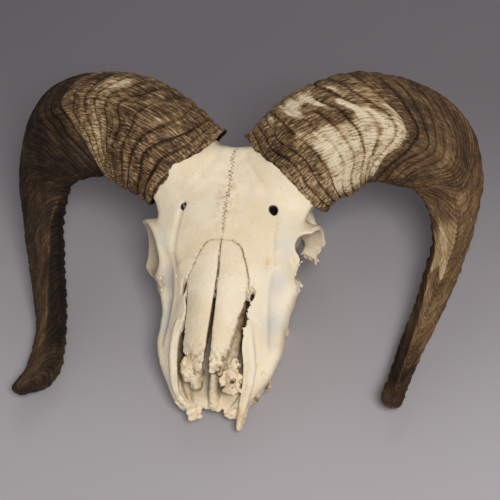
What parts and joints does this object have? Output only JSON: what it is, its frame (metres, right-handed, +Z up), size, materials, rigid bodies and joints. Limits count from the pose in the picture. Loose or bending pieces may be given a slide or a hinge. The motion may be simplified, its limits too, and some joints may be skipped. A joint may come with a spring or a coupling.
{
  "type": "ram skull",
  "caption": "Dry horned ram skull without its lower jaw, with separate nasal bones over an open nose and large ribbed horns curling out and down.",
  "frame": {"origin": "centre of the bounding box's footprint, at the level the skull rests on", "axes": "+X towards the animal's own left, -Y towards the nose, +Z up, with the skull lying on its upper teeth"},
  "size_m": [0.386, 0.2438, 0.1725],
  "materials": {
    "bone": "dry weathered bone, ivory to cream with brown stains in the hollows, matt and finely porous",
    "horn": "ribbed horn sheath, brown to pale grey tan, dry and matt with a dull sheen on the worn parts"
  },
  "bodies": {
    "root": {"cranium": "bone", "nasal_left": "bone", "nasal_right": "bone", "horn_left": "horn", "horn_right": "horn"}
  },
  "joints": []
}
